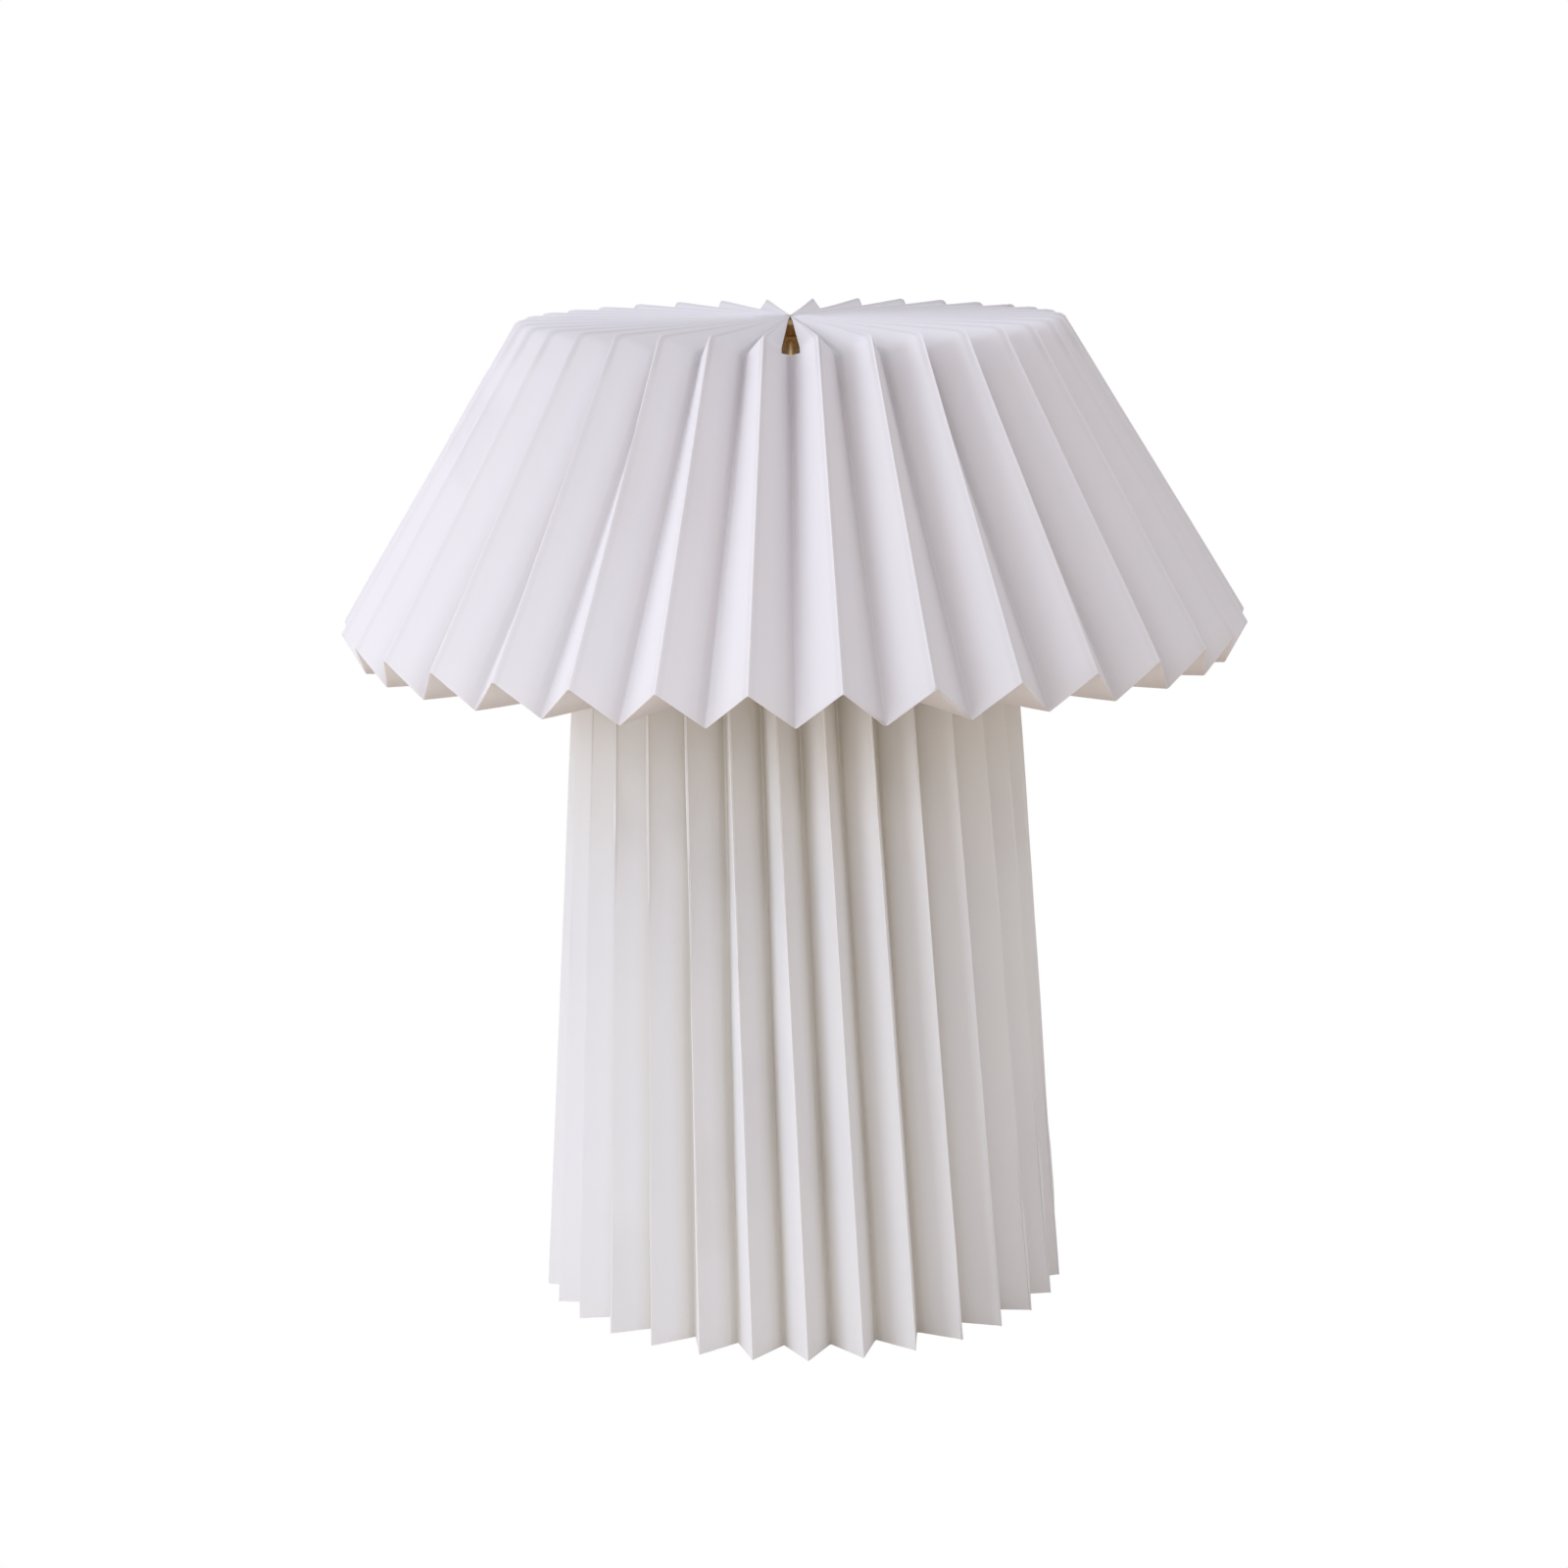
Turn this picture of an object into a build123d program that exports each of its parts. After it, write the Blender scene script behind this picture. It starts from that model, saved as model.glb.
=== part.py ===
from build123d import *
from math import atan2, cos, radians, sin, sqrt
import os

# Pleated paper table lamp: a flared, pleated shade rests on a pleated paper column.
# Millimetres, +Z up. The origin is the centre of the base at the surface it stands on.
# Angles run from the front of the lamp (-Y), counter-clockwise seen from above.

# ---- Paper shade ----
SHADE_PLEATS = 34
SHADE_TOP_Z = 393.5             # flat top, along the ridges
HEM_RIDGE_R = 180.0
HEM_RIDGE_Z = 274.5
HEM_VALLEY_R = 172.7
HEM_VALLEY_Z = 261.1
SHOULDER_RIDGE_R = 107.4
SHOULDER_VALLEY_R = 91.0
SHOULDER_VALLEY_DROP = 8.6      # shoulder valleys below the ridges of the top
PAPER = 0.5
TOP_HOLE_R = 2.5                # where the pleats of the top meet
SLIT_WIDTH = 5.8                # open seam of the top, at the shoulder
SLIT_SHARE_AT_HOLE = 0.9        # share of its facet that the slit takes at the hole
SKIRT_SEAM_GAP = 0.4
SHADE_SEAM_ANGLE = 0.0          # front valley

# ---- Paper column ----
COLUMN_PLEATS = 31
COLUMN_FOOT_Z = 0.6
COLUMN_TOP_Z = 298.0
COLUMN_FOOT_RIDGE_R = 107.0
COLUMN_PLATE_GAP = 2.0          # from the plate out to the valleys at the foot
COLUMN_TOP_RIDGE_R = 86.3
COLUMN_TOP_VALLEY_R = 68.6
COLUMN_RIDGE_ANGLE = 0.7        # the front ridge at the foot
COLUMN_TWIST = -6.8             # turn of the pleats from foot to top
COLUMN_SEAM_PITCHES = 13.5      # from the front ridge round to the seam valley
COLUMN_SEAM_GAP = 0.4
NOTCH_WIDTH = 15.0              # cord notch in the foot of the paper, at the back

# ---- Paper seam strips ----
STRIP_THICKNESS = 0.3
STRIP_GLUE = 0.15               # layer of glue between a strip and the paper
STRIP_SHARE = 0.55              # share of each facet beside the seam that a strip covers
STRIP_END = 4.0                 # clear length between a strip's end and a ring

# ---- Wire frames ----
WIRE = 3.0                      # rings and arms
UPRIGHT = 4.0
UPRIGHT_COUNT = 4
UPRIGHT_ANGLE = 45.0
UPRIGHT_SOCKET_DEPTH = 4.0
COLUMN_RING_DROP = 5.0          # column's top ring below the top of the paper
SHOULDER_RING_INSET = 7.0       # shoulder ring inside the shoulder's valleys
LOWER_RING_LIFT = 12.0          # skirt's lower ring above the hem ridges
ARM_COUNT = 4
ARM_ANGLE = 0.0
HUB_R = 10.0
HUB_HEIGHT = 5.0
HUB_SOCKET_DEPTH = 5.0
POST_R = 3.0
CENTRE_DISC_R = 14.0
CENTRE_DISC_THICKNESS = 1.0
SADDLE_LENGTH = 9.0
SADDLE_WIDTH = 6.0
SADDLE_SKIRT = 2.4              # saddle's lips below the middle of the support ring

# ---- Base ----
PLATE_R = 88.0
PLATE_THICKNESS = 6.0
PLATE_EDGE = 0.8
PAD_R = 7.0
PAD_THICKNESS = 4.0
PAD_RECESS = 1.0
PAD_COUNT = 4
PAD_INSET = 22.0                # middle of a pad inside the plate's rim
M4_FLATS = 7.0
M4_HEIGHT = 3.2

# ---- Stem ----
STEM_R = 5.0
STEM_WALL = 1.5
STEM_FLATS = 14.0
STEM_NUT_HEIGHT = 3.0
STEM_NUT_RECESS = 2.0
STEM_END = 0.5                  # stem below its bottom nut
STEM_ENTRY = 8.0                # stem inside the lamp holder's cap
WASHER_R = 10.0
WASHER_THICKNESS = 1.2
WINDOW_WIDTH = 5.0
WINDOW_LIFT = 9.0               # cord window above the plate
WINDOW_HEIGHT = 16.0

# ---- Cord inlet ----
BUSHING_BORE_R = 3.5
BUSHING_WALL = 2.5
BUSHING_LENGTH = 14.0
BUSHING_FLANGE_LIP = 2.5        # flange beyond the bushing's body
BUSHING_FLANGE = 2.5
BUSHING_NUT_WALL = 1.5          # across the nut's flats
BUSHING_NUT_HEIGHT = 3.0
INLET_CLEARANCE = 1.0           # under the bushing's nut
BRACKET_SHEET = 1.5
BRACKET_MARGIN = 3.5            # bracket beyond the bushing's flange on each side
BRACKET_FOOT = 16.0
BRACKET_INSET = 13.0            # bracket's outer face inside the plate's rim
BRACKET_SCREW_SPACING = 16.0
M3_R = 1.5
M3_HEAD_R = 2.8
M3_HEAD_HEIGHT = 2.0
M3_DEPTH = 4.5
M3_SLOT_WIDTH = 0.8
M3_SLOT_DEPTH = 1.0

# ---- Lamp holder ----
HOLDER_RIM_DROP = 6.0           # rim below the top of the column
HOLDER_CAP_HEIGHT = 18.0
HOLDER_NECK_WALL = 3.0
HOLDER_R = 20.0
HOLDER_WALL = 2.0
HOLDER_RIB_PITCH = 3.0
HOLDER_RIB = 0.8
INSERT_HEIGHT = 8.0
SLEEVE_CLEARANCE = 0.3          # between the sleeve and the bulb's cap
SLEEVE_WALL = 0.5
SPACER_HEIGHT = 4.0
CENTRE_CONTACT_R = 3.5
CENTRE_CONTACT_HEIGHT = 2.5
TERMINAL_R = 1.6
TERMINAL_LENGTH = 5.0
TERMINAL_SPACING = 14.0

# ---- Bulb ----
BULB_SINK = 1.2                 # top of the cap below the holder's rim
BULB_TIP_R = 4.5
BULB_TIP_HEIGHT = 1.0
BULB_INSULATOR_HEIGHT = 3.0
BULB_INSULATOR_INSET = 2.5      # insulator's rim inside the cap
BULB_CAP_R = 13.0
BULB_CAP_ROOT = 0.7
BULB_CAP_WALL = 0.4
THREAD_PITCH = 3.6
THREAD_TURNS = 5
BULB_HOUSING_HEIGHT = 12.0
BULB_HOUSING_R = 17.0
BULB_HOUSING_WALL = 1.5
GLOBE_R = 22.5
GLOBE_WALL = 1.0
BOARD_R = 13.5
BOARD_THICKNESS = 1.6

# ---- Clearances ----
GLUE = 0.05                     # between glued, soldered or screwed pieces
SEAT = 0.3                      # between a resting piece and its seat
CUT_MARGIN = 3.0                # how far a cut runs past what it opens

# ---- Places worked out from the sizes above ----
PLATE_LOW_Z = PAD_THICKNESS - PAD_RECESS
PLATE_TOP_Z = PLATE_LOW_Z + PLATE_THICKNESS
PAD_CIRCLE_R = PLATE_R - PAD_INSET
COLUMN_FOOT_VALLEY_R = PLATE_R + COLUMN_PLATE_GAP
SHADE_HALF_PITCH = 180 / SHADE_PLEATS
COLUMN_HALF_PITCH = 180 / COLUMN_PLEATS
COLUMN_SEAM_ANGLE = COLUMN_RIDGE_ANGLE + COLUMN_SEAM_PITCHES * 2 * COLUMN_HALF_PITCH
SHOULDER_VALLEY_Z = SHADE_TOP_Z - SHOULDER_VALLEY_DROP
SHOULDER_RING_R = SHOULDER_VALLEY_R - SHOULDER_RING_INSET
STEM_BORE_R = STEM_R - STEM_WALL
BUSHING_R = BUSHING_BORE_R + BUSHING_WALL
BUSHING_FLANGE_R = BUSHING_R + BUSHING_FLANGE_LIP
BUSHING_NUT_FLATS = 2 * (BUSHING_R + BUSHING_NUT_WALL)
INLET_Z = PLATE_TOP_Z + BRACKET_SHEET + INLET_CLEARANCE + BUSHING_NUT_FLATS / 2
BRACKET_FACE_Y = PLATE_R - BRACKET_INSET


def around(radius, angle, z):
    """Point at a radius, an angle in degrees from the front, and a height."""
    return Vector(radius * sin(radians(angle)), -radius * cos(radians(angle)), z)


def between(start, end, share):
    """Point a share of the way from start to end."""
    return start + (end - start) * share


def between_rz(start, end, share):
    """The same for two (radius, height) pairs."""
    return (start[0] + (end[0] - start[0]) * share, start[1] + (end[1] - start[1]) * share)


def at_height(line, z):
    """Radius of a (radius, height) line at a height."""
    low, high = line
    return between_rz(low, high, (z - low[1]) / (high[1] - low[1]))[0]


def at_radius(line, radius):
    """Height of a (radius, height) line at a radius."""
    low, high = line
    return between_rz(low, high, (radius - low[0]) / (high[0] - low[0]))[1]


def crossing(first, second):
    """Where two (radius, height) lines cross."""
    (r1, z1), (r2, z2) = first
    (r3, z3), (r4, z4) = second
    bottom = (r2 - r1) * (z4 - z3) - (z2 - z1) * (r4 - r3)
    share = ((r3 - r1) * (z4 - z3) - (z3 - z1) * (r4 - r3)) / bottom
    return between_rz((r1, z1), (r2, z2), share)


# ---- Pleated sheets ----
def zigzag(ridge, valley, pleats, start, share):
    """Fold points once round, from valley to valley, cut back at the open seam."""
    points = []
    for index in range(2 * pleats + 1):
        radius, z = ridge if index % 2 else valley
        points.append(around(radius, start + index * 180 / pleats, z))
    points[0] = between(points[0], points[1], share)
    points[-1] = between(points[-1], points[-2], share)
    return points


def ruled(a, b, c, d):
    """Face between the straight edges a-b and c-d."""
    return Face.make_surface_from_curves(Edge.make_line(a, b), Edge.make_line(c, d))


def sheet(outer_low, outer_high, inner_low, inner_high):
    """Folded sheet of paper between an outer and an inner grid of fold points."""
    faces = []
    for i in range(len(outer_low) - 1):
        for low, high in (
            (outer_low, outer_high),
            (inner_low, inner_high),
            (outer_low, inner_low),
            (outer_high, inner_high),
        ):
            faces.append(ruled(low[i], low[i + 1], high[i], high[i + 1]))
    for end in (0, -1):
        faces.append(ruled(outer_low[end], outer_high[end], inner_low[end], inner_high[end]))
    return Solid(Shell(faces))


def seam_share(gap, ridge, valley, half_pitch):
    """Share of a facet that half the seam's gap takes."""
    facet = around(ridge[0], half_pitch, ridge[1]) - around(valley[0], 0, valley[1])
    return gap / 2 / facet.length


# ---- Shade geometry ----
SKIRT_RIDGE = ((HEM_RIDGE_R, HEM_RIDGE_Z), (SHOULDER_RIDGE_R, SHADE_TOP_Z))
SKIRT_VALLEY = ((HEM_VALLEY_R, HEM_VALLEY_Z), (SHOULDER_VALLEY_R, SHOULDER_VALLEY_Z))


def inset_crease(line, other, depth):
    """Crease of the skirt moved inward, so that its facets lie a depth deeper."""
    low, high = line
    length = sqrt((high[0] - low[0]) ** 2 + (high[1] - low[1]) ** 2)
    along = Vector((high[0] - low[0]) / length, 0, (high[1] - low[1]) / length)
    inward = Vector(-along.Z, 0, along.X)
    middle = between_rz(low, high, 0.5)
    far = between_rz(*other, 0.5)
    turn = radians(SHADE_HALF_PITCH)
    facet = Vector(far[0] * cos(turn) - middle[0], far[0] * sin(turn), far[1] - middle[1])
    normal = along.cross(facet).normalized()
    move = inward * (depth / abs(normal.dot(inward)))
    return ((low[0] + move.X, low[1] + move.Z), (high[0] + move.X, high[1] + move.Z))


def skirt_creases(depth):
    """Ridge and valley lines of the skirt at a depth into the paper."""
    ridge = inset_crease(SKIRT_RIDGE, SKIRT_VALLEY, depth)
    valley = inset_crease(SKIRT_VALLEY, SKIRT_RIDGE, depth)
    return ridge, valley


def deepened(line, start, end):
    """(Radius, height) line moved by as much as another moves from start to end."""
    move = (end[0][0] - start[0][0], end[0][1] - start[0][1])
    return tuple((r + move[0], z + move[1]) for r, z in line)


def top_creases(depth):
    """Ridge and valley lines of the top at a depth into the paper, from the axis outward."""
    ridge = around(SHOULDER_RIDGE_R, 0, 0)
    valley = around(SHOULDER_VALLEY_R, SHADE_HALF_PITCH, -SHOULDER_VALLEY_DROP)
    normal = ridge.cross(valley).normalized()
    centre = (0, SHADE_TOP_Z - depth / abs(normal.Z))
    ridge_line = (centre, (SHOULDER_RIDGE_R, centre[1]))
    valley_line = (centre, (SHOULDER_VALLEY_R, centre[1] - SHOULDER_VALLEY_DROP))
    return ridge_line, valley_line


def shoulder(depth):
    """Shoulder's ridge and valley points at a depth into the paper."""
    skirt = skirt_creases(depth)
    top = top_creases(depth)
    return crossing(skirt[0], top[0]), crossing(skirt[1], top[1])


def shade_skirt_paper():
    """Flared, pleated side of the shade, its seam closed at the front valley."""
    share = seam_share(SKIRT_SEAM_GAP, SKIRT_RIDGE[0], SKIRT_VALLEY[0], SHADE_HALF_PITCH)
    grids = []
    for depth in (0, PAPER):
        ridge, valley = skirt_creases(depth)
        top_ridge, top_valley = shoulder(depth)
        grids.append(zigzag(ridge[0], valley[0], SHADE_PLEATS, SHADE_SEAM_ANGLE, share))
        grids.append(zigzag(top_ridge, top_valley, SHADE_PLEATS, SHADE_SEAM_ANGLE, share))
    return sheet(*grids)


def shade_top_paper():
    """Pleated top, a fan closed to a small hole, with a slit left open at its seam."""
    half_chord = SHOULDER_VALLEY_R * sin(radians(SHADE_HALF_PITCH))
    share = SLIT_WIDTH / 2 / half_chord
    grids = []
    for depth in (0, PAPER):
        ridge, valley = top_creases(depth)
        hole_ridge = (TOP_HOLE_R, at_radius(ridge, TOP_HOLE_R))
        hole_valley = (TOP_HOLE_R, at_radius(valley, TOP_HOLE_R))
        grids.append(zigzag(*shoulder(depth), SHADE_PLEATS, SHADE_SEAM_ANGLE, share))
        grids.append(
            zigzag(hole_ridge, hole_valley, SHADE_PLEATS, SHADE_SEAM_ANGLE, SLIT_SHARE_AT_HOLE)
        )
    return sheet(*grids)


def strip(points_at):
    """Folded strip along a valley. points_at gives ridge, valley, ridge at a depth."""
    grids = []
    outside = PAPER + STRIP_GLUE
    for depth in (outside, outside + STRIP_THICKNESS):
        for left, valley, right in points_at(depth):
            first = between(valley, left, STRIP_SHARE)
            last = between(valley, right, STRIP_SHARE)
            grids.append([first, valley, last])
    return sheet(*grids)


def shade_seam_strip():
    """Strip glued inside the skirt behind its seam."""

    def points_at(depth):
        top_ridge, top_valley = shoulder(PAPER)
        lines = []
        for inside, deeper, top in zip(
            skirt_creases(PAPER), skirt_creases(depth), (top_ridge, top_valley)
        ):
            lines.append(deepened((inside[0], top), inside, deeper))
        ridge, valley = lines
        rows = []
        for z in (LOWER_RING_Z + STRIP_END, SHOULDER_VALLEY_Z - STRIP_END):
            share = (z - valley[0][1]) / (valley[1][1] - valley[0][1])
            ridge_point = between_rz(*ridge, share)
            valley_point = between_rz(*valley, share)
            rows.append([
                around(ridge_point[0], SHADE_SEAM_ANGLE - SHADE_HALF_PITCH, ridge_point[1]),
                around(valley_point[0], SHADE_SEAM_ANGLE, valley_point[1]),
                around(ridge_point[0], SHADE_SEAM_ANGLE + SHADE_HALF_PITCH, ridge_point[1]),
            ])
        return rows

    return strip(points_at)


# ---- Column geometry ----
def column_section(ridge_r, valley_r, depth):
    """Ridge and valley radii of a column section at a depth into the paper."""
    half = radians(COLUMN_HALF_PITCH)
    fold = atan2(valley_r * sin(half), ridge_r - valley_r * cos(half))
    return ridge_r - depth / sin(fold), valley_r - depth / sin(fold + half)


def column_points(ridge_angle, valley_angle, z, depth):
    """Ridge and valley points at a height, for one pleat placed by its foot angles."""
    foot = column_section(COLUMN_FOOT_RIDGE_R, COLUMN_FOOT_VALLEY_R, depth)
    top = column_section(COLUMN_TOP_RIDGE_R, COLUMN_TOP_VALLEY_R, depth)
    share = (z - COLUMN_FOOT_Z) / (COLUMN_TOP_Z - COLUMN_FOOT_Z)
    points = []
    for low_r, high_r, angle in zip(foot, top, (ridge_angle, valley_angle)):
        low = around(low_r, angle, COLUMN_FOOT_Z)
        high = around(high_r, angle + COLUMN_TWIST, COLUMN_TOP_Z)
        points.append(between(low, high, share))
    return points


def column_inner_radius(z):
    """Radius that just clears the insides of the column's valleys at a height."""
    valley = column_points(0, 0, z, PAPER)[1]
    return sqrt(valley.X ** 2 + valley.Y ** 2) - GLUE


def column_paper():
    """Pleated, slightly tapered and twisted tube, notched at the back for the cord."""
    foot_ridge = (COLUMN_FOOT_RIDGE_R, COLUMN_FOOT_Z)
    foot_valley = (COLUMN_FOOT_VALLEY_R, COLUMN_FOOT_Z)
    share = seam_share(COLUMN_SEAM_GAP, foot_ridge, foot_valley, COLUMN_HALF_PITCH)
    ends = (
        (COLUMN_FOOT_RIDGE_R, COLUMN_FOOT_VALLEY_R, COLUMN_FOOT_Z, 0),
        (COLUMN_TOP_RIDGE_R, COLUMN_TOP_VALLEY_R, COLUMN_TOP_Z, COLUMN_TWIST),
    )
    grids = []
    for depth in (0, PAPER):
        for ridge_r, valley_r, z, turn in ends:
            ridge_in, valley_in = column_section(ridge_r, valley_r, depth)
            start = COLUMN_SEAM_ANGLE + turn
            grids.append(zigzag((ridge_in, z), (valley_in, z), COLUMN_PLEATS, start, share))
    start_y = PLATE_R - CUT_MARGIN
    end_y = COLUMN_FOOT_RIDGE_R + CUT_MARGIN
    arch = lying(rod(NOTCH_WIDTH / 2, 0, end_y - start_y), start_y)
    opening = Box(NOTCH_WIDTH, end_y - start_y, INLET_Z)
    return sheet(*grids) - arch - Pos(0, (start_y + end_y) / 2, INLET_Z / 2) * opening


def column_seam_strip():
    """Strip glued inside the column behind its seam, between the rings."""

    def points_at(depth):
        low_z = FOOT_RING_Z + STRIP_END
        high_z = COLUMN_RING_Z - STRIP_END
        rows = []
        for z in (low_z, high_z):
            left, valley = column_points(
                COLUMN_SEAM_ANGLE - COLUMN_HALF_PITCH, COLUMN_SEAM_ANGLE, z, depth
            )
            right, valley = column_points(
                COLUMN_SEAM_ANGLE + COLUMN_HALF_PITCH, COLUMN_SEAM_ANGLE, z, depth
            )
            rows.append([left, valley, right])
        return rows

    return strip(points_at)


# ---- Heights and radii of the wire frames ----
FOOT_RING_Z = PLATE_TOP_Z + WIRE / 2
FOOT_RING_R = column_inner_radius(FOOT_RING_Z + WIRE / 2) - WIRE / 2
COLUMN_RING_Z = COLUMN_TOP_Z - COLUMN_RING_DROP
COLUMN_RING_R = column_inner_radius(COLUMN_RING_Z + WIRE / 2) - WIRE / 2
UPRIGHT_CIRCLE_R = COLUMN_RING_R - WIRE / 2 - UPRIGHT / 2 - GLUE
TOP_VALLEY_INSIDE = top_creases(PAPER)[1]
ARM_Z = at_radius(TOP_VALLEY_INSIDE, SHOULDER_RING_R + WIRE / 2) - GLUE - WIRE / 2
SUPPORT_RING_Z = ARM_Z - WIRE - SEAT
LOWER_RING_Z = HEM_RIDGE_Z + LOWER_RING_LIFT

# ---- Heights and radii of the bulb and its holder, from the rim down ----
HOLDER_RIM_Z = COLUMN_TOP_Z - HOLDER_RIM_DROP
CAP_TOP_Z = HOLDER_RIM_Z - BULB_SINK
CAP_LOW_Z = CAP_TOP_Z - THREAD_TURNS * THREAD_PITCH
INSULATOR_LOW_Z = CAP_LOW_Z - BULB_INSULATOR_HEIGHT
TIP_LOW_Z = INSULATOR_LOW_Z - BULB_TIP_HEIGHT
INSERT_TOP_Z = TIP_LOW_Z - SEAT - CENTRE_CONTACT_HEIGHT
HOLDER_JOINT_Z = INSERT_TOP_Z - INSERT_HEIGHT
HOLDER_LOW_Z = HOLDER_JOINT_Z - HOLDER_CAP_HEIGHT
SLEEVE_LOW_Z = INSERT_TOP_Z + SPACER_HEIGHT
HOLDER_BORE_R = HOLDER_R - HOLDER_WALL
HOLDER_NECK_R = STEM_R + HOLDER_NECK_WALL
SLEEVE_R = BULB_CAP_R + SLEEVE_CLEARANCE


# ---- Plain shapes ----
def rod(radius, low, high, x=0, y=0):
    """Upright cylinder between two heights."""
    return Pos(x, y, (low + high) / 2) * Cylinder(radius, high - low)


def tube(outer, inner, low, high):
    """Upright tube between two heights."""
    return rod(outer, low, high) - rod(inner, low, high)


def turned(*points):
    """Solid of revolution from (radius, height) points."""
    outline = Polyline(*[(r, 0, z) for r, z in points], close=True)
    return revolve(make_face(outline), axis=Axis.Z)


def hex_nut(flats, bore, low, height):
    """Hexagon nut standing at a height."""
    outline = RegularPolygon(flats / 2, 6, major_radius=False) - Circle(bore)
    return Pos(0, 0, low) * extrude(outline, height)


def wire_ring(radius, z):
    """Ring of round wire."""
    return Pos(0, 0, z) * Torus(radius, WIRE / 2)


def bar(radius, start, end, z):
    """Round bar that lies along the front radius, from one distance to another."""
    return Pos(0, -(start + end) / 2, z) * Rot(90, 0, 0) * Cylinder(radius, end - start)


def lying(shape, y):
    """Upright piece turned to lie along +Y on the inlet's axis, its foot at y."""
    return Pos(0, y, INLET_Z) * Rot(-90, 0, 0) * shape


def spread(shape, radius, count, start):
    """Copies of a shape on a circle, as one group of separate solids."""
    places = [start + index * 360 / count for index in range(count)]
    return Compound(children=[
        Pos(around(radius, angle, 0)) * Rot(0, 0, angle) * shape for angle in places
    ])


# ---- Base ----
def base_plate():
    """Weighted steel disc with its holes, sockets and recesses."""
    plate = chamfer(rod(PLATE_R, PLATE_LOW_Z, PLATE_TOP_Z).edges(), PLATE_EDGE)
    plate -= rod(STEM_R + GLUE, 0, PLATE_TOP_Z)
    plate -= rod(STEM_FLATS / sqrt(3) + SEAT, 0, PLATE_LOW_Z + STEM_NUT_RECESS)
    recess = rod(PAD_R + GLUE, PLATE_LOW_Z, PLATE_LOW_Z + PAD_RECESS)
    plate -= spread(recess, PAD_CIRCLE_R, PAD_COUNT, 0)
    socket = rod(UPRIGHT / 2 + GLUE, PLATE_TOP_Z - UPRIGHT_SOCKET_DEPTH, PLATE_TOP_Z)
    plate -= spread(socket, UPRIGHT_CIRCLE_R, UPRIGHT_COUNT, UPRIGHT_ANGLE)
    for x, y in bracket_screw_places():
        plate -= rod(M3_R + GLUE, PLATE_TOP_Z - M3_DEPTH, PLATE_TOP_Z, x, y)
    return plate


def foot_pads():
    """Rubber pads set into the underside of the plate."""
    return spread(rod(PAD_R, 0, PAD_THICKNESS), PAD_CIRCLE_R, PAD_COUNT, 0)


def uprights():
    """Rods that stand in the plate and carry the rings."""
    low = PLATE_TOP_Z - UPRIGHT_SOCKET_DEPTH
    post = rod(UPRIGHT / 2, low, SUPPORT_RING_Z + WIRE / 2 - GLUE)
    return spread(post, UPRIGHT_CIRCLE_R, UPRIGHT_COUNT, UPRIGHT_ANGLE)


def upright_nuts():
    """Lock nuts of the rods, on the plate."""
    nut = hex_nut(M4_FLATS, UPRIGHT / 2 + GLUE, PLATE_TOP_Z, M4_HEIGHT)
    return spread(nut, UPRIGHT_CIRCLE_R, UPRIGHT_COUNT, UPRIGHT_ANGLE)


# ---- Stem ----
STEM_NUT_Z = PLATE_LOW_Z + STEM_NUT_RECESS - STEM_NUT_HEIGHT
STEM_TOP_Z = HOLDER_LOW_Z + STEM_ENTRY
WINDOW_Z = PLATE_TOP_Z + WINDOW_LIFT + WINDOW_HEIGHT / 2


def stem_tube():
    """Threaded tube up the middle, with a window at the back for the cord."""
    stem = tube(STEM_R, STEM_BORE_R, STEM_NUT_Z - STEM_END, STEM_TOP_Z)
    return stem - Pos(0, STEM_R / 2, WINDOW_Z) * Box(WINDOW_WIDTH, STEM_R, WINDOW_HEIGHT)


def stem_bottom_nut():
    """Nut in the recess under the plate."""
    return hex_nut(STEM_FLATS, STEM_R + GLUE, STEM_NUT_Z, STEM_NUT_HEIGHT)


def stem_washer():
    """Washer on the plate."""
    return tube(WASHER_R, STEM_R + GLUE, PLATE_TOP_Z, PLATE_TOP_Z + WASHER_THICKNESS)


def stem_plate_nut():
    """Nut on the washer."""
    return hex_nut(STEM_FLATS, STEM_R + GLUE, PLATE_TOP_Z + WASHER_THICKNESS, STEM_NUT_HEIGHT)


def stem_holder_nut():
    """Lock nut under the lamp holder."""
    return hex_nut(STEM_FLATS, STEM_R + GLUE, HOLDER_LOW_Z - STEM_NUT_HEIGHT, STEM_NUT_HEIGHT)


# ---- Cord inlet ----
def bracket_screw_places():
    """Centres of the bracket's two screws."""
    y = BRACKET_FACE_Y - BRACKET_FOOT / 2
    return [(-BRACKET_SCREW_SPACING / 2, y), (BRACKET_SCREW_SPACING / 2, y)]


def inlet_bracket():
    """Bent sheet bracket that holds the bushing."""
    width = 2 * (BUSHING_FLANGE_R + BRACKET_MARGIN)
    height = INLET_Z - PLATE_TOP_Z + BUSHING_FLANGE_R + BRACKET_SHEET
    foot = Pos(0, BRACKET_FACE_Y - BRACKET_FOOT / 2, PLATE_TOP_Z + BRACKET_SHEET / 2)
    wall = Pos(0, BRACKET_FACE_Y - BRACKET_SHEET / 2, PLATE_TOP_Z + height / 2)
    bracket = foot * Box(width, BRACKET_FOOT, BRACKET_SHEET)
    bracket += wall * Box(width, BRACKET_SHEET, height)
    bracket -= lying(rod(BUSHING_R + GLUE, 0, BRACKET_SHEET), BRACKET_FACE_Y - BRACKET_SHEET)
    for x, y in bracket_screw_places():
        bracket -= rod(M3_R + GLUE, PLATE_TOP_Z, PLATE_TOP_Z + BRACKET_SHEET, x, y)
    return bracket


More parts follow.
